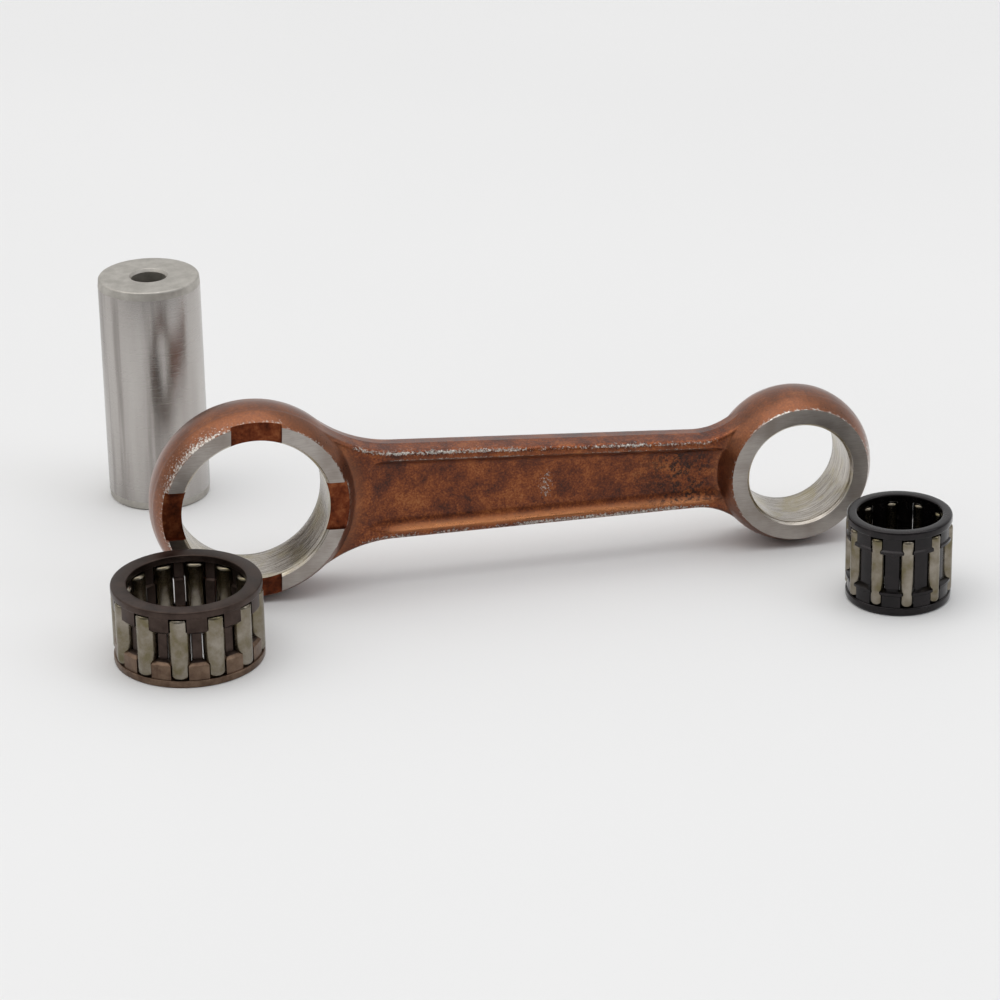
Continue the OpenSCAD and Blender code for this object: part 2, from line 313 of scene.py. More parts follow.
def add(tree, kind, inputs=None, settings=None, stops=None, out=0):
    """Adds one node with its settings and links, and gives back one of its outputs.

    An input takes a number, a vector, a hex colour, or an output of another node. The stops
    of a colour ramp are pairs of a place and a hex colour or grey level."""
    node = tree.nodes.new(kind)
    for name, value in (settings or {}).items():
        setattr(node, name, value)
    for name, value in (inputs or {}).items():
        if isinstance(name, int):
            socket = node.inputs[name]
        else:
            socket = next(s for s in node.inputs if name in (s.identifier, s.name))
        if isinstance(value, bpy.types.NodeSocket):
            tree.links.new(value, socket)
        elif isinstance(value, str):
            socket.default_value = hex_colour(value)
        else:
            socket.default_value = value
    if stops:
        marks = node.color_ramp.elements
        while len(marks) < len(stops):
            marks.new(1.0)
        for mark, (place, shade) in zip(marks, stops):
            mark.position = place
            mark.color = hex_colour(shade) if isinstance(shade, str) else (shade, shade, shade, 1.0)
    return node.outputs[out] if len(node.outputs) else node


def start_material(name):
    """A new node material: the material, its node tree, and the place on the piece in metres."""
    material = bpy.data.materials.new(name)
    material.use_nodes = True
    material.node_tree.nodes.clear()
    return material, material.node_tree, add(material.node_tree, "ShaderNodeTexCoord", out="Object")


def cells(size_mm):
    """Scale of a pattern whose cells are that many millimetres across."""
    return 1 / (size_mm * MM)


# Copper plating over a forged and blasted skin, under a film of old oil. It gives the eye a dull
# red-brown with darker oxidised blotches and a pale sheen, a sandy grain drawn coarse enough to
# show, pits near the small end, and grey steel where edges have rubbed through.
copper_plating, tree, place = start_material("copper_plating_on_forged_steel")
blotch = add(tree, "ShaderNodeTexNoise",
             {"Vector": place, "Scale": cells(5), "Detail": 7.0, "Roughness": 0.72})
grain = add(tree, "ShaderNodeTexNoise",
            {"Vector": place, "Scale": cells(0.38), "Detail": 3.0, "Roughness": 0.7})
tone = add(tree, "ShaderNodeMath", {0: blotch, 1: 0.58, 2: 0.0}, {"operation": "MULTIPLY_ADD"})
tone = add(tree, "ShaderNodeMath", {0: grain, 1: 0.42, 2: tone}, {"operation": "MULTIPLY_ADD"})
red_brown = [(0.38, "#381506"), (0.47, "#642d0f"), (0.55, "#89471d"), (0.65, "#a86938")]
copper = add(tree, "ShaderNodeValToRGB", {"Fac": tone}, stops=red_brown)
# Lighter copper along the recess's inner corners, mostly the lower one: a painted highlight
polish_and_highlight_mask = add(tree, "ShaderNodeAttribute", settings={"attribute_name": "polish"}, out="Fac")
copper = add(tree, "ShaderNodeMix", {"Factor_Float": polish_and_highlight_mask, "A_Color": copper, "B_Color": "#a2663a"},
             {"data_type": "RGBA"}, out=2)
# Flatter, greyer copper on the rims: a painted sheen; the same mask also softens their bump
tumbled_sheen_mask = add(tree, "ShaderNodeAttribute", settings={"attribute_name": "tumbled"}, out="Fac")
rim_sheen_and_smoothing = add(tree, "ShaderNodeMath", {0: tumbled_sheen_mask, 1: 0.6}, {"operation": "MULTIPLY"})
copper = add(tree, "ShaderNodeMix", {"Factor_Float": rim_sheen_and_smoothing, "A_Color": copper, "B_Color": "#7d4f33"},
             {"data_type": "RGBA"}, out=2)
pitted = add(tree, "ShaderNodeAttribute", settings={"attribute_name": "pitting"}, out="Fac")
pits = add(tree, "ShaderNodeTexNoise",
           {"Vector": place, "Scale": cells(0.7), "Detail": 5.0, "Roughness": 0.7})
pits = add(tree, "ShaderNodeValToRGB", {"Fac": pits}, stops=[(0.5, 0.0), (0.58, 1.0)])
pits = add(tree, "ShaderNodeMath", {0: pits, 1: pitted}, {"operation": "MULTIPLY"})
copper = add(tree, "ShaderNodeMix", {"Factor_Float": pits, "A_Color": copper, "B_Color": "#33180c"},
             {"data_type": "RGBA"}, out=2)
rubbed = add(tree, "ShaderNodeAttribute", settings={"attribute_name": "wear"}, out="Fac")
speckle = add(tree, "ShaderNodeTexNoise",
              {"Vector": place, "Scale": cells(0.5), "Detail": 5.0, "Roughness": 0.8})
stretch = add(tree, "ShaderNodeTexNoise", {"Vector": place, "Scale": cells(12), "Detail": 2.0})
stretch = add(tree, "ShaderNodeValToRGB", {"Fac": stretch}, stops=[(0.3, 0.55), (0.55, 1.0)])
bare = add(tree, "ShaderNodeMath", {0: rubbed, 1: stretch}, {"operation": "MULTIPLY"})
bare = add(tree, "ShaderNodeMath", {0: bare, 1: 0.34, 2: speckle}, {"operation": "MULTIPLY_ADD"})
bare = add(tree, "ShaderNodeValToRGB", {"Fac": bare}, stops=[(0.71, 0.0), (0.79, 1.0)])
glint = add(tree, "ShaderNodeValToRGB", {"Fac": grain}, stops=[(0.38, "#8d877f"), (0.58, "#d9d3cb")])
skin_colour = add(tree, "ShaderNodeMix", {"Factor_Float": bare, "A_Color": copper, "B_Color": glint},
                  {"data_type": "RGBA"}, out=2)
satin = add(tree, "ShaderNodeValToRGB", {"Fac": tone}, stops=[(0.35, 0.36), (0.65, 0.48)])
satin = add(tree, "ShaderNodeMath", {0: polish_and_highlight_mask, 1: -0.14, 2: satin}, {"operation": "MULTIPLY_ADD"})
satin = add(tree, "ShaderNodeMath", {0: tumbled_sheen_mask, 1: -0.1, 2: satin}, {"operation": "MULTIPLY_ADD"})
sand = add(tree, "ShaderNodeTexNoise",
           {"Vector": place, "Scale": cells(0.5), "Detail": 4.0, "Roughness": 0.6})
sand = add(tree, "ShaderNodeMath", {0: bare, 1: -0.5, 2: sand}, {"operation": "MULTIPLY_ADD"})
sand = add(tree, "ShaderNodeMath", {0: pits, 1: -0.6, 2: sand}, {"operation": "MULTIPLY_ADD"})
depth = add(tree, "ShaderNodeMath", {0: rim_sheen_and_smoothing, 1: -0.8, 2: 0.9}, {"operation": "MULTIPLY_ADD"})
blasted = add(tree, "ShaderNodeBump", {"Height": sand, "Distance": 0.1 * MM, "Strength": depth})
skin = {"Base Color": skin_colour, "Metallic": 0.9, "Roughness": satin, "Normal": blasted,
        "Coat Weight": 0.45, "Coat Roughness": 0.3}
add(tree, "ShaderNodeOutputMaterial", {"Surface": add(tree, "ShaderNodeBsdfPrincipled", skin)})

# Face-ground steel. Flat warm grey with the straight, close lines of the grinding wheel and a
# few brown stains of old oil. The lines are drawn about ten times coarser than real ones, to show.
ground_face, tree, place = start_material("face_ground_steel")
wheel = add(tree, "ShaderNodeMapping",
            {"Vector": place, "Rotation": (0, math.radians(28), 0), "Scale": (1, 1, 14)})
lines = add(tree, "ShaderNodeTexNoise",
            {"Vector": wheel, "Scale": cells(2.4), "Detail": 4.0, "Roughness": 0.7})
stain = add(tree, "ShaderNodeTexNoise", {"Vector": place, "Scale": cells(8), "Detail": 4.0})
stain = add(tree, "ShaderNodeValToRGB", {"Fac": stain}, stops=[(0.42, 0.0), (0.66, 0.7)])
steel = add(tree, "ShaderNodeValToRGB", {"Fac": lines}, stops=[(0.3, "#9d9690"), (0.7, "#b6afa9")])
steel = add(tree, "ShaderNodeMix", {"Factor_Float": stain, "A_Color": steel, "B_Color": "#857b73"},
            {"data_type": "RGBA"}, out=2)
gloss = add(tree, "ShaderNodeValToRGB", {"Fac": lines}, stops=[(0.3, 0.3), (0.7, 0.42)])
relief = add(tree, "ShaderNodeBump", {"Height": lines, "Distance": 0.008 * MM, "Strength": 1.0})
skin = {"Base Color": steel, "Metallic": 1.0, "Roughness": gloss, "Normal": relief}
add(tree, "ShaderNodeOutputMaterial", {"Surface": add(tree, "ShaderNodeBsdfPrincipled", skin)})

# Honed steel. Bright, with fine scratches that run round the bore and yellow films of old oil.
# The scratches are about 0.2 mm apart, coarser than a hone's, to show.
honed_bore, tree, place = start_material("honed_steel")
round_bore = add(tree, "ShaderNodeMapping", {"Vector": place, "Scale": (1, 30, 1)})
hone = add(tree, "ShaderNodeTexNoise",
           {"Vector": round_bore, "Scale": cells(7), "Detail": 5.0, "Roughness": 0.75})
film = add(tree, "ShaderNodeTexNoise",
           {"Vector": place, "Scale": cells(6), "Detail": 4.0, "Roughness": 0.6, "Distortion": 0.6})
film = add(tree, "ShaderNodeValToRGB", {"Fac": film}, stops=[(0.45, 0.0), (0.66, 0.85)])
steel = add(tree, "ShaderNodeValToRGB",
            {"Fac": hone}, stops=[(0.38, "#8b8379"), (0.5, "#b3aca3"), (0.66, "#dad4cb")])
steel = add(tree, "ShaderNodeMix", {"Factor_Float": film, "A_Color": steel, "B_Color": "#aa9f80"},
            {"data_type": "RGBA"}, out=2)
gloss = add(tree, "ShaderNodeValToRGB", {"Fac": hone}, stops=[(0.35, 0.14), (0.7, 0.42)])
relief = add(tree, "ShaderNodeBump", {"Height": hone, "Distance": 0.01 * MM, "Strength": 1.0})
skin = {"Base Color": steel, "Metallic": 1.0, "Roughness": gloss, "Normal": relief}
add(tree, "ShaderNodeOutputMaterial", {"Surface": add(tree, "ShaderNodeBsdfPrincipled", skin)})

# Copper plating in the oil slots. Redder and duller than the rims, because nothing rubs it there.
slot_plating, tree, place = start_material("copper_plating_in_oil_slots")
cloud = add(tree, "ShaderNodeTexNoise",
            {"Vector": place, "Scale": cells(2.2), "Detail": 6.0, "Roughness": 0.7})
red_brown = [(0.36, "#431a0a"), (0.52, "#6e341a"), (0.68, "#925533")]
copper = add(tree, "ShaderNodeValToRGB", {"Fac": cloud}, stops=red_brown)
relief = add(tree, "ShaderNodeBump", {"Height": cloud, "Distance": 0.08 * MM, "Strength": 0.8})
skin = {"Base Color": copper, "Metallic": 0.85, "Roughness": 0.48, "Normal": relief}
add(tree, "ShaderNodeOutputMaterial", {"Surface": add(tree, "ShaderNodeBsdfPrincipled", skin)})

rod_materials = [copper_plating, ground_face, honed_bore, slot_plating]


def make_piece(name, verts, faces, materials, kinds=None, crisp=35, marks=None):
    """A mesh object from points in millimetres; edges sharper than that many degrees stay crisp."""
    mesh = bpy.data.meshes.new(name)
    mesh.from_pydata([tuple(v) for v in np.asarray(verts, float) * MM], [], faces)
    for mark, values in (marks or {}).items():
        layer = mesh.attributes.new(mark, "FLOAT", "POINT")
        layer.data.foreach_set("value", np.asarray(values, np.float32))
    for material in materials:
        mesh.materials.append(material)
    if kinds is not None:
        mesh.polygons.foreach_set("material_index", kinds)
    tidy = bmesh.new()
    tidy.from_mesh(mesh)
    bmesh.ops.remove_doubles(tidy, verts=tidy.verts, dist=0.0005 * MM)
    bmesh.ops.dissolve_degenerate(tidy, edges=tidy.edges, dist=0.0005 * MM)
    bmesh.ops.recalc_face_normals(tidy, faces=tidy.faces)
    tidy.to_mesh(mesh)
    tidy.free()
    mesh.shade_smooth()
    mesh.set_sharp_from_angle(angle=math.radians(crisp))
    piece = bpy.data.objects.new(name, mesh)
    bpy.context.scene.collection.objects.link(piece)
    return piece


def combine(piece, tool, operation, crisp=35):
    """Adds a second solid to a piece, or cuts it away, and drops the second solid."""
    step = piece.modifiers.new(operation, "BOOLEAN")
    step.operation = operation
    step.solver = "EXACT"
    step.object = tool
    bpy.context.view_layer.update()
    result = bpy.data.meshes.new_from_object(piece.evaluated_get(bpy.context.evaluated_depsgraph_get()))
    piece.modifiers.clear()
    piece.data = result
    bpy.data.objects.remove(tool)
    cut = bmesh.new()
    cut.from_mesh(result)
    bmesh.ops.triangulate(cut, faces=[face for face in cut.faces if len(face.verts) > 4])
    cut.to_mesh(result)
    cut.free()
    result.shade_smooth()
    result.set_sharp_from_angle(angle=math.radians(crisp))


# Four oil slots cross each ground face of the big eye and run out where the rim falls away
slot_outline = [(big_bore_r - 1.5, -slot_half), (big_rim_r + 1, -slot_half),
                (big_rim_r + 1, slot_half), (big_bore_r - 1.5, slot_half)]
wear, polish, pitting, tumbled = np.array(rod_marks).T
rod_x, rod_y, rod_z = np.array(rod_verts).T
bare_patch = 0.9 * np.exp(-(((rod_x - 56) / 1.6) ** 2) - ((rod_z / 3.6) ** 2)) * (rod_y < 0)
wear = np.maximum(wear, bare_patch)
rod_marks = {"wear": wear, "polish": polish, "pitting": pitting, "tumbled": tumbled}
rod = make_piece("rod_forging", rod_verts, rod_faces, rod_materials, rod_kinds, 35, rod_marks)
slot_verts, slot_faces = [], []
for turn in range(4):
    c, s = math.cos(turn * math.pi / 2), math.sin(turn * math.pi / 2)
    for side in (-1, 1):
        line = [(x * c - z * s, x * s + z * c) for x, z in slot_outline]
        start, count = len(slot_verts), len(line)
        for y in (big_half - slot_depth, big_half + 1):
            slot_verts += [(x, side * y, z) for x, z in line]
        slot_faces += [tuple(range(start, start + count)), tuple(range(start + count, start + 2 * count))]
        for i in range(count):
            j = (i + 1) % count
            slot_faces.append((start + i, start + j, start + count + j, start + count + i))
slots = make_piece("slot_cutters", slot_verts, slot_faces, rod_materials, [SLOT] * len(slot_faces))
combine(rod, slots, "DIFFERENCE")

# The rod was drawn level; on the bench it stands on the rims of both eyes
rod.data.transform(Matrix.Rotation(rod_tilt, 4, "Y"))
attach(rod, "rod")
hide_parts("rod")

# ---------------------------------------------------------------------------------------------
# Crank pin. Case-hardened alloy steel, ground and lapped for the needle rollers to run on. It
# presses into the crank webs, so both ends have a slight lead, which the wheel leaves duller.

pin_low, pin_high = (np.array(c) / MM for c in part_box("crank_pin"))
pin_axis = (pin_low + pin_high) / 2
pin_r = mounts["crank_pin_outside"]["dims"]["r_mm"]
pin_hole_r = mounts["crank_pin_centre_hole"]["dims"]["r_mm"]
pin_length = pin_high[2] - pin_low[2]
pin_lead = 1.6
pin_lead_drop = 0.12
pin_edge = 0.4


def bend(corner, before, after, radius, steps=4):
    """Points that round off one corner of a profile."""
    corner, before, after = (np.array(p, float) for p in (corner, before, after))
    a = corner + (before - corner) / np.linalg.norm(before - corner) * radius
    b = corner + (after - corner) / np.linalg.norm(after - corner) * radius
    return [tuple((1 - t) ** 2 * a + 2 * t * (1 - t) * corner + t ** 2 * b)
            for t in np.linspace(0, 1, steps + 1)]


def rounded(profile):
    """A closed profile of (radius, height, rounding) corners as plain points."""
    points = []
    for i, (r, z, radius) in enumerate(profile):
        if radius:
            points += bend((r, z), profile[i - 1][:2], profile[(i + 1) % len(profile)][:2], radius)
        else:
            points.append((r, z))
    return points


def turned(points, centre, low, steps, closed=True):
    """Verts and faces of a profile turned about an upright axis."""
    verts, faces = [], []
    for i in range(steps):
        c, s = math.cos(2 * math.pi * i / steps), math.sin(2 * math.pi * i / steps)
        verts += [(centre[0] + r * c, centre[1] + r * s, low + z) for r, z in points]
    count = len(points)
    for i in range(steps):
        j = (i + 1) % steps
        for k in range(count if closed else count - 1):
            m = (k + 1) % count
            faces.append((i * count + k, i * count + m, j * count + m, j * count + k))
    return verts, faces


# Lapped steel. A pale, warm grey with very fine lines round the pin and long soft streaks along
# it, partly wipe marks and partly painted reflection bands; its gloss stretches reflections into
# upright bands. The lines are drawn 0.3 mm apart, coarser than lapping leaves them, to show.
lapped_steel, tree, place = start_material("ground_and_lapped_steel")
around = add(tree, "ShaderNodeMapping", {"Vector": place, "Scale": (0.35, 0.35, 9)})
lap = add(tree, "ShaderNodeTexNoise",
          {"Vector": around, "Scale": cells(3), "Detail": 5.0, "Roughness": 0.7})
along = add(tree, "ShaderNodeMapping", {"Vector": place, "Scale": (1, 1, 0.05)})
# Light and dark streaks along the pin: wipe marks and painted reflection bands
wipe_and_reflection_streaks = add(tree, "ShaderNodeTexNoise",
           {"Vector": along, "Scale": cells(5), "Detail": 4.0, "Roughness": 0.6})
steel = add(tree, "ShaderNodeValToRGB",
            {"Fac": wipe_and_reflection_streaks}, stops=[(0.34, "#9a9591"), (0.45, "#b4afab"), (0.7, "#c3bfbb")])
gloss = add(tree, "ShaderNodeValToRGB", {"Fac": lap}, stops=[(0.3, 0.22), (0.75, 0.3)])
relief = add(tree, "ShaderNodeBump", {"Height": lap, "Distance": 0.002 * MM, "Strength": 1.0})
skin = {"Base Color": steel, "Metallic": 1.0, "Roughness": gloss, "Normal": relief}
add(tree, "ShaderNodeOutputMaterial", {"Surface": add(tree, "ShaderNodeBsdfPrincipled", skin)})

# Turned steel on the ends, leads and hole. Duller and a little darker, with fine feed rings.
turned_steel, tree, place = start_material("turned_steel")
middle = add(tree, "ShaderNodeMapping", {"Vector": place, "Location": tuple(-pin_axis * MM)})
rings = add(tree, "ShaderNodeTexWave",
            {"Vector": middle, "Scale": cells(0.9), "Distortion": 1.2, "Detail": 3.0},
            {"wave_type": "RINGS", "rings_direction": "Z"})
fog = add(tree, "ShaderNodeTexNoise",
          {"Vector": place, "Scale": cells(3), "Detail": 4.0, "Roughness": 0.65})
steel = add(tree, "ShaderNodeValToRGB", {"Fac": fog}, stops=[(0.35, "#aca8a1"), (0.68, "#c4c0b9")])
relief = add(tree, "ShaderNodeBump", {"Height": rings, "Distance": 0.006 * MM, "Strength": 0.8})
skin = {"Base Color": steel, "Metallic": 1.0, "Roughness": 0.5, "Normal": relief}
add(tree, "ShaderNodeOutputMaterial", {"Surface": add(tree, "ShaderNodeBsdfPrincipled", skin)})

lead_r = pin_r - pin_lead_drop
half_profile = [(pin_hole_r, pin_edge + 0.2, 0), (pin_hole_r + pin_edge, 0, 0.12),
                (lead_r - pin_edge * 0.6, 0, 0.15), (lead_r, pin_edge * 0.8, 0.15),
                (pin_r - 0.03, pin_lead, 0), (pin_r, pin_lead + 0.08, 0)]
upper_profile = [(r, pin_length - z, radius) for r, z, radius in reversed(half_profile)]
pin_points = rounded(half_profile + upper_profile)
pin_verts, pin_faces = turned(pin_points, pin_axis, pin_low[2], 144)
lapped = [r > pin_r - 0.01 for r, z in pin_points]
pin_kinds = [0 if lapped[k % len(lapped)] and lapped[(k + 1) % len(lapped)] else 1
             for k in range(len(pin_faces))]
pin = make_piece("crank_pin_ground", pin_verts, pin_faces, [lapped_steel, turned_steel], pin_kinds, 25)
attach(pin, "crank_pin")
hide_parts("crank_pin")

# ---------------------------------------------------------------------------------------------
# Big-end cage. One steel pressing, its twelve pockets broached and its skin browned by hot
# oxide. Two flat end rings are joined by bars, each with a wide pad at both ends.

big_low, big_high = (np.array(c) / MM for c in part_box("big_end_cage"))
big_axis = (big_low + big_high) / 2
big_cage_width = big_high[2] - big_low[2]
roller_places = {joint["name"].removesuffix("_spin"): np.array(joint["pos_m"]) / MM
                 for joint in frame["joints"] if joint["name"].endswith("_spin")}
big_rollers = sorted(name for name in roller_places if name.startswith("big"))
big_roller_low, big_roller_high = (np.array(c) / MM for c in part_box(big_rollers[0]))
big_roller_r = (big_roller_high[0] - big_roller_low[0]) / 2
big_pitch_r = float(np.linalg.norm((roller_places[big_rollers[0]] - big_axis)[:2]))
big_turn = heading(roller_places[big_rollers[0]], big_axis)
big_ring_outer_r = (big_high[0] - big_low[0]) / 2
big_ring_inner_r = big_ring_outer_r - 2.95
big_ring_height = 1.35
big_pad_height = 3.4
big_pad_inner_r = big_ring_inner_r + 0.4
big_pad_r = big_ring_outer_r - 0.3
big_waist_r = big_ring_inner_r + 1.2
pocket_gap = 0.06
slit_gap = 0.22


def pocket_side(pitch_r, pocket_r):
    """How far round a pocket reaches from its own middle, at any radius of the cage."""
    def reach(radius):
        level = (radius ** 2 + pitch_r ** 2 - pocket_r ** 2) / (2 * radius * pitch_r)
        return math.acos(min(1, level))
    return reach


def bar_section(inner_r, outer_r, half_step, reach, corner):
    """Outline of one bar between two pockets, as (turn, radius) points, with cut corners."""
    radii = [inner_r, inner_r + corner] + list(np.linspace(inner_r + corner, outer_r - corner, 6))[1:-1]
    radii += [outer_r - corner, outer_r]
    side = [(half_step - reach(r) - (corner / r if r in (inner_r, outer_r) else 0), r) for r in radii]
    outer_turn, inner_turn = side[-1][0], side[0][0]
    across = [(t, outer_r) for t in np.linspace(outer_turn, -outer_turn, 6)[1:-1]]
    back = [(t, inner_r) for t in np.linspace(-inner_turn, inner_turn, 6)[1:-1]]
    return side + across + [(-t, r) for t, r in reversed(side)] + back


def add_bar(verts, faces, sections, centre, low, turn):
    """Lofts one bar through sections, a list of (height, outline)."""
    start, count = len(verts), len(sections[0][1])
    for z, outline in sections:
        verts.extend((centre[0] + r * math.cos(turn + t), centre[1] + r * math.sin(turn + t), low + z)
                     for t, r in outline)
    for level in range(len(sections) - 1):
        for k in range(count):
            a, b = start + level * count + k, start + level * count + (k + 1) % count
            faces.append((a, b, b + count, a + count))
    faces.append(tuple(range(start, start + count)))
    faces.append(tuple(range(start + count * (len(sections) - 1), start + count * len(sections))))


# Browned steel. A thin hot oxide: satin, nearly black where thick and coppery brown on the lower
# end ring and lower pads, with bright steel just showing on the sharpest edges.
browned_steel, tree, place = start_material("browned_steel")
cloud = add(tree, "ShaderNodeTexNoise",
            {"Vector": place, "Scale": cells(3.5), "Detail": 5.0, "Roughness": 0.65})
scuffs = add(tree, "ShaderNodeTexNoise",
             {"Vector": place, "Scale": cells(0.6), "Detail": 4.0, "Roughness": 0.75})
oxide = add(tree, "ShaderNodeValToRGB", {"Fac": cloud}, stops=[(0.35, "#352a25"), (0.65, "#4d403a")])
rub = add(tree, "ShaderNodeValToRGB", {"Fac": scuffs}, stops=[(0.66, 0.0), (0.78, 0.6)])
oxide = add(tree, "ShaderNodeMix", {"Factor_Float": rub, "A_Color": oxide, "B_Color": "#75695e"},
            {"data_type": "RGBA"}, out=2)
gloss = add(tree, "ShaderNodeValToRGB", {"Fac": cloud}, stops=[(0.35, 0.3), (0.65, 0.42)])
relief = add(tree, "ShaderNodeBump", {"Height": scuffs, "Distance": 0.02 * MM, "Strength": 0.6})
skin = {"Base Color": oxide, "Metallic": 0.85, "Roughness": gloss, "Normal": relief}
add(tree, "ShaderNodeOutputMaterial", {"Surface": add(tree, "ShaderNodeBsdfPrincipled", skin)})

# The same oxide on the lower end ring and the lower pads: paler and redder.
lower_end_oxide, tree, place = start_material("browned_steel_polished_by_the_bore")
cloud = add(tree, "ShaderNodeTexNoise",
            {"Vector": place, "Scale": cells(2.5), "Detail": 5.0, "Roughness": 0.65})
oxide = add(tree, "ShaderNodeValToRGB", {"Fac": cloud}, stops=[(0.35, "#5a473a"), (0.65, "#7d6857")])
relief = add(tree, "ShaderNodeBump", {"Height": cloud, "Distance": 0.03 * MM, "Strength": 0.6})
skin = {"Base Color": oxide, "Metallic": 0.85, "Roughness": 0.36, "Normal": relief}
add(tree, "ShaderNodeOutputMaterial", {"Surface": add(tree, "ShaderNodeBsdfPrincipled", skin)})

ring_profile = [(big_ring_inner_r, 0, 0.2), (big_ring_outer_r, 0, 0.3),
                (big_ring_outer_r, big_ring_height, 0.18), (big_ring_inner_r, big_ring_height, 0.18)]
cage_verts, cage_faces = [], []
for flip in (False, True):
    points = [(r, big_cage_width - z if flip else z) for r, z in rounded(ring_profile)]
    verts, faces = turned(points, big_axis, big_low[2], 192)
    cage_faces += [tuple(len(cage_verts) + i for i in face) for face in faces]
    cage_verts += verts
half_count = len(cage_faces) // 2
big_cage = make_piece("big_end_cage_browned", cage_verts, cage_faces, [browned_steel, lower_end_oxide],
                      [1] * half_count + [0] * half_count, 40)

half_step = math.pi / len(big_rollers)
pad_reach = pocket_side(big_pitch_r, big_roller_r + pocket_gap)
waist_reach = pocket_side(big_pitch_r, big_roller_r + slit_gap)
pad_section = bar_section(big_pad_inner_r, big_pad_r, half_step, pad_reach, 0.22)
pad_top_section = bar_section(big_pad_inner_r + 0.1, big_pad_r - 0.5, half_step, pad_reach, 0.3)
waist_section = bar_section(big_ring_inner_r, big_waist_r, half_step, waist_reach, 0.12)
pad_end = big_ring_height + big_pad_height
half_bar = [(big_ring_height - 0.5, pad_section), (big_ring_height + 0.3, pad_section),
            (pad_end - 0.6, pad_section), (pad_end - 0.1, pad_top_section), (pad_end + 0.2, waist_section),
            (pad_end + 0.5, waist_section)]
bar = half_bar + [(big_cage_width - z, section) for z, section in reversed(half_bar)]
bar_verts, bar_faces = [], []
for i in range(len(big_rollers)):
    add_bar(bar_verts, bar_faces, bar, big_axis, big_low[2], big_turn + (2 * i + 1) * half_step)
centre_z = [np.mean([bar_verts[i][2] for i in face]) - big_low[2] for face in bar_faces]
bar_kinds = [1 if z < pad_end else 0 for z in centre_z]
bars = make_piece("big_end_cage_bars", bar_verts, bar_faces, [browned_steel, lower_end_oxide], bar_kinds, 40)
combine(big_cage, bars, "UNION", 40)
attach(big_cage, "big_end_cage")
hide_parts("big_end_cage")

# ---------------------------------------------------------------------------------------------
# Needle rollers. Through-hardened bearing steel, centreless ground, with rounded ends so that
# they don't dig into the cage. They are loose in their pockets, and oil has tinted them.

# Ground bearing steel. Satin grey with a slight yellow cast, fine lines round each roller, drawn
# coarse enough to show, and a few dull marks from running.
roller_steel, tree, place = start_material("ground_bearing_steel")
around = add(tree, "ShaderNodeMapping", {"Vector": place, "Scale": (0.6, 0.6, 7)})
lap = add(tree, "ShaderNodeTexNoise",
          {"Vector": around, "Scale": cells(2), "Detail": 4.0, "Roughness": 0.7})
oil = add(tree, "ShaderNodeTexNoise",
          {"Vector": place, "Scale": cells(3), "Detail": 4.0, "Roughness": 0.6})
steel = add(tree, "ShaderNodeValToRGB",
            {"Fac": oil}, stops=[(0.35, "#6e664f"), (0.5, "#80786a"), (0.68, "#948d82")])
gloss = add(tree, "ShaderNodeValToRGB", {"Fac": lap}, stops=[(0.3, 0.16), (0.72, 0.26)])
relief = add(tree, "ShaderNodeBump", {"Height": lap, "Distance": 0.0015 * MM, "Strength": 1.0})
skin = {"Base Color": steel, "Metallic": 1.0, "Roughness": gloss, "Normal": relief}
add(tree, "ShaderNodeOutputMaterial", {"Surface": add(tree, "ShaderNodeBsdfPrincipled", skin)})


def add_roller(node, end_round):
    """A roller in its place: round edges at both ends and a shallow dimple in each end face."""
    low, high = (np.array(c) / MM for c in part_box(node))
    radius, length = (high[0] - low[0]) / 2, high[2] - low[2]
    half = [(0, 0.12), (radius * 0.35, 0.06)]
    half += bend((radius, 0), (radius * 0.4, 0), (radius, length), end_round, 6)
    points = half + [(r, length - z) for r, z in reversed(half)]
    verts, faces = turned(points, (low + high) / 2, low[2], 48, closed=False)
    roller = make_piece(node + "_needle", verts, faces, [roller_steel], None, 50)
    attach(roller, node)
    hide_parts(node)


for node in big_rollers:
    add_roller(node, 0.8)

# ---------------------------------------------------------------------------------------------
# Small-end cage. Turned from steel tube and blacked. Thick round end rims carry ten bars, and
# two ridges on each bar close over the rollers and clasp them from outside.

small_low, small_high = (np.array(c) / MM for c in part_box("small_end_cage"))
small_axis = (small_low + small_high) / 2
small_cage_width = small_high[2] - small_low[2]
small_rollers = sorted(name for name in roller_places if name.startswith("small"))
small_roller_low, small_roller_high = (np.array(c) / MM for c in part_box(small_rollers[0]))
small_roller_r = (small_roller_high[0] - small_roller_low[0]) / 2
small_pitch_r = float(np.linalg.norm((roller_places[small_rollers[0]] - small_axis)[:2]))
small_turn = heading(roller_places[small_rollers[0]], small_axis)
small_ring_outer_r = (small_high[0] - small_low[0]) / 2
small_ring_inner_r = small_ring_outer_r - 1.95
small_ring_height = 1.6
small_band_height = 2.4
ridge_height = 0.7
ridge_gap = 0.1
small_band_r = small_ring_outer_r - 0.3
small_waist_r = small_ring_outer_r - 1.0

# Blacked steel. A deep blue-black oxide under oil: glossy, with small sharp highlights, and a
# trace of brown where it is thin.
blacked_steel, tree, place = start_material("blacked_and_oiled_steel")
cloud = add(tree, "ShaderNodeTexNoise",
            {"Vector": place, "Scale": cells(3), "Detail": 5.0, "Roughness": 0.65})
oxide = add(tree, "ShaderNodeValToRGB", {"Fac": cloud}, stops=[(0.35, "#120f10"), (0.65, "#221d1e")])
gloss = add(tree, "ShaderNodeValToRGB", {"Fac": cloud}, stops=[(0.3, 0.18), (0.7, 0.3)])
skin_grain = add(tree, "ShaderNodeTexNoise", {"Vector": place, "Scale": cells(0.8), "Detail": 3.0})
relief = add(tree, "ShaderNodeBump", {"Height": skin_grain, "Distance": 0.015 * MM, "Strength": 0.6})
skin = {"Base Color": oxide, "Metallic": 0.8, "Roughness": gloss, "Normal": relief, "Coat Weight": 0.3}
add(tree, "ShaderNodeOutputMaterial", {"Surface": add(tree, "ShaderNodeBsdfPrincipled", skin)})

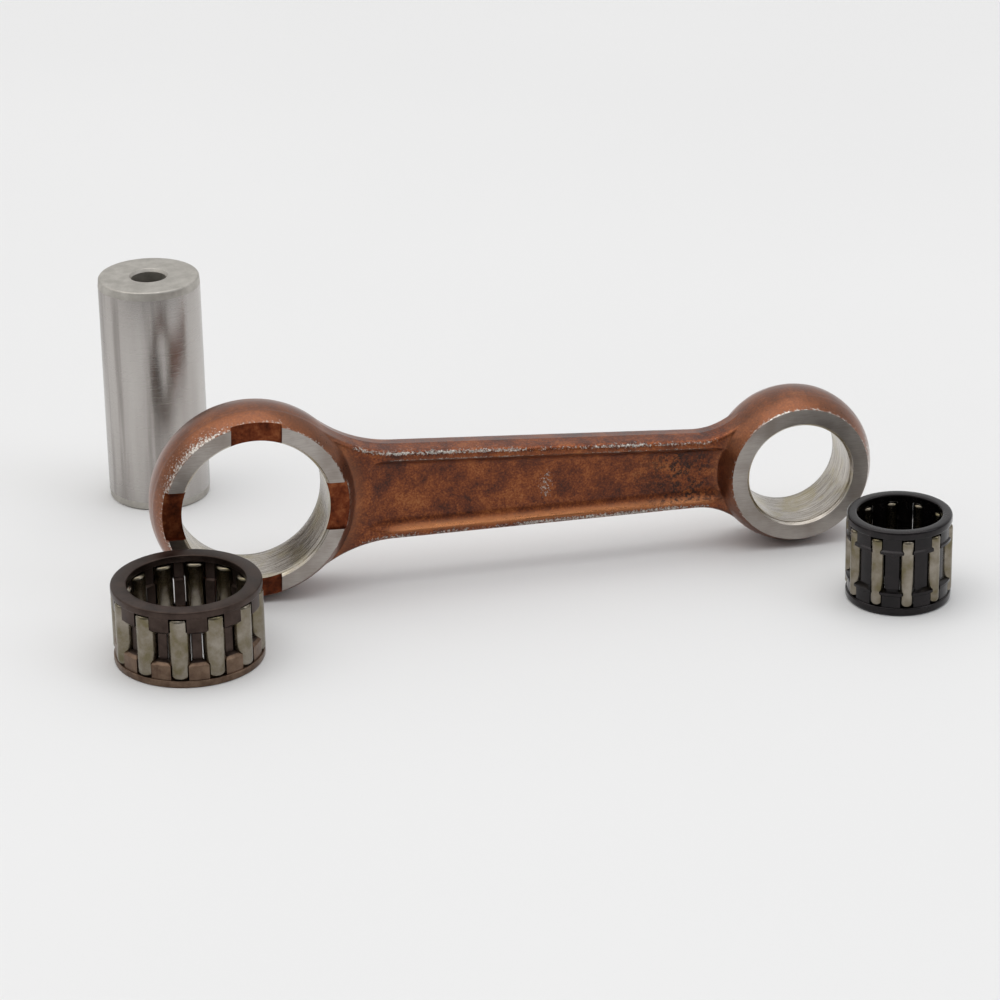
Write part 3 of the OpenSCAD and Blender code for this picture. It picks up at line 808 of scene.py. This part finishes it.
ring_profile = [(small_ring_inner_r, 0, 0.45), (small_ring_outer_r, 0, 0.55),
                (small_ring_outer_r, small_ring_height, 0.3), (small_ring_inner_r, small_ring_height, 0.15)]
cage_verts, cage_faces = [], []
for flip in (False, True):
    points = [(r, small_cage_width - z if flip else z) for r, z in rounded(ring_profile)]
    verts, faces = turned(points, small_axis, small_low[2], 160)
    cage_faces += [tuple(len(cage_verts) + i for i in face) for face in faces]
    cage_verts += verts
small_cage = make_piece("small_end_cage_blacked", cage_verts, cage_faces, [blacked_steel], None, 40)

half_step = math.pi / len(small_rollers)
reach = pocket_side(small_pitch_r, small_roller_r + ridge_gap)
slope_r = (small_ring_outer_r + small_waist_r) / 2
band_section, ridge_section, slope_section, waist_section = (
    bar_section(small_ring_inner_r, r, half_step, reach, 0.12)
    for r in (small_band_r, small_ring_outer_r, slope_r, small_waist_r))
band_top = small_ring_height + small_band_height
ridge_top = band_top + ridge_height
half_bar = [(small_ring_height - 0.5, band_section), (band_top - 0.15, band_section),
            (band_top + 0.1, ridge_section), (ridge_top - 0.1, ridge_section),
            (ridge_top + 0.15, slope_section), (ridge_top + 0.4, waist_section),
            (ridge_top + 0.7, waist_section)]
bar = half_bar + [(small_cage_width - z, section) for z, section in reversed(half_bar)]
bar_verts, bar_faces = [], []
for i in range(len(small_rollers)):
    add_bar(bar_verts, bar_faces, bar, small_axis, small_low[2], small_turn + (2 * i + 1) * half_step)
bars = make_piece("small_end_cage_bars", bar_verts, bar_faces, [blacked_steel], None, 40)
combine(small_cage, bars, "UNION", 40)
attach(small_cage, "small_end_cage")
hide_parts("small_end_cage")

for node in small_rollers:
    add_roller(node, 0.75)

# ---------------------------------------------------------------------------------------------
# Bench: a plain pale board, under a large soft lamp straight above, a weaker one like a window
# at the left and a faint one at the right, in a pale room.

# Painted board. Nearly white and matt, with the faintest unevenness.
painted_board, tree, place = start_material("matt_white_paint")
shade = add(tree, "ShaderNodeTexNoise", {"Vector": place, "Scale": cells(160), "Detail": 2.0})
paint = add(tree, "ShaderNodeValToRGB", {"Fac": shade}, stops=[(0.3, "#e9e9e9"), (0.7, "#ebebeb")])
skin = {"Base Color": paint, "Roughness": 0.7, "Specular IOR Level": 0.3}
add(tree, "ShaderNodeOutputMaterial", {"Surface": add(tree, "ShaderNodeBsdfPrincipled", skin)})

board_half = 4000
corners = [(board_half * x, board_half * y, bench_z - 0.01)
           for x, y in ((-1, -1), (1, -1), (1, 1), (-1, 1))]
board = make_piece("bench_board", corners, [(0, 1, 2, 3)], [painted_board])


def add_light(name, place, aim, size, power, tint="#ffffff"):
    """A square soft light at a place, facing a point; places and size in metres."""
    data = bpy.data.lights.new(name, "AREA")
    data.shape = "RECTANGLE"
    data.size, data.size_y = size
    data.energy = power
    data.color = hex_colour(tint)[:3]
    light = bpy.data.objects.new(name, data)
    light.location = place
    light.rotation_euler = (Vector(aim) - Vector(place)).to_track_quat("-Z", "Y").to_euler()
    bpy.context.scene.collection.objects.link(light)


aim = Vector((0.054, 0.0316, -0.0204))
add_light("window", (-0.8, 0.1, 1.1), aim, (1.2, 1.2), 2.6, "#fffcf8")
add_light("overhead", (0.1, -0.05, 1.5), aim, (1.6, 1.4), 7.5)
add_light("fill", (1.1, -0.6, 0.8), aim, (0.7, 0.9), 2, "#f4f8ff")

world = bpy.data.worlds.new("soft_room")
world.use_nodes = True
world.node_tree.nodes.clear()
tree = world.node_tree
sky = add(tree, "ShaderNodeTexCoord", out="Generated")
height = add(tree, "ShaderNodeSeparateXYZ", {0: sky}, out=2)
room = add(tree, "ShaderNodeValToRGB", {"Fac": height},
           stops=[(0.0, "#d9d9d9"), (0.45, "#dcdcdc"), (0.8, "#ffffff")])
behind = add(tree, "ShaderNodeSeparateXYZ", {0: sky}, out=1)
behind = add(tree, "ShaderNodeMapRange",
             {"Value": behind, "From Min": -0.7, "From Max": 0.3, "To Min": 0.42, "To Max": 1.0})
room = add(tree, "ShaderNodeMix", {"Factor_Float": 1.0, "A_Color": room, "B_Color": behind},
           {"data_type": "RGBA", "blend_type": "MULTIPLY"}, out=2)
glow = add(tree, "ShaderNodeBackground", {"Color": room, "Strength": 0.97})
add(tree, "ShaderNodeOutputWorld", {"Surface": glow})
bpy.context.scene.world = world

# Camera: a long lens in front of the rod, above it and a little towards its big end
view_turn = math.radians(11.9)
view_height = math.radians(24.07)
view_distance = 0.80253
view_roll = math.radians(-1.05)
look_at = Vector((0.05396, 0.03056, bench_z * MM - 0.0003))
offset = Vector((-math.sin(view_turn) * math.cos(view_height), -math.cos(view_turn) * math.cos(view_height),
                 math.sin(view_height)))
lens = bpy.data.cameras.new("camera")
lens.sensor_width = 36
lens.lens = 145.6
lens.clip_start = 0.05
camera = bpy.data.objects.new("camera", lens)
camera.location = look_at + offset * view_distance
camera.rotation_mode = "QUATERNION"
roll = Matrix.Rotation(view_roll, 3, "Z").to_quaternion()
camera.rotation_quaternion = (-offset).to_track_quat("-Z", "Y") @ roll
bpy.context.scene.collection.objects.link(camera)
bpy.context.scene.camera = camera
bpy.context.scene.view_settings.view_transform = "Standard"
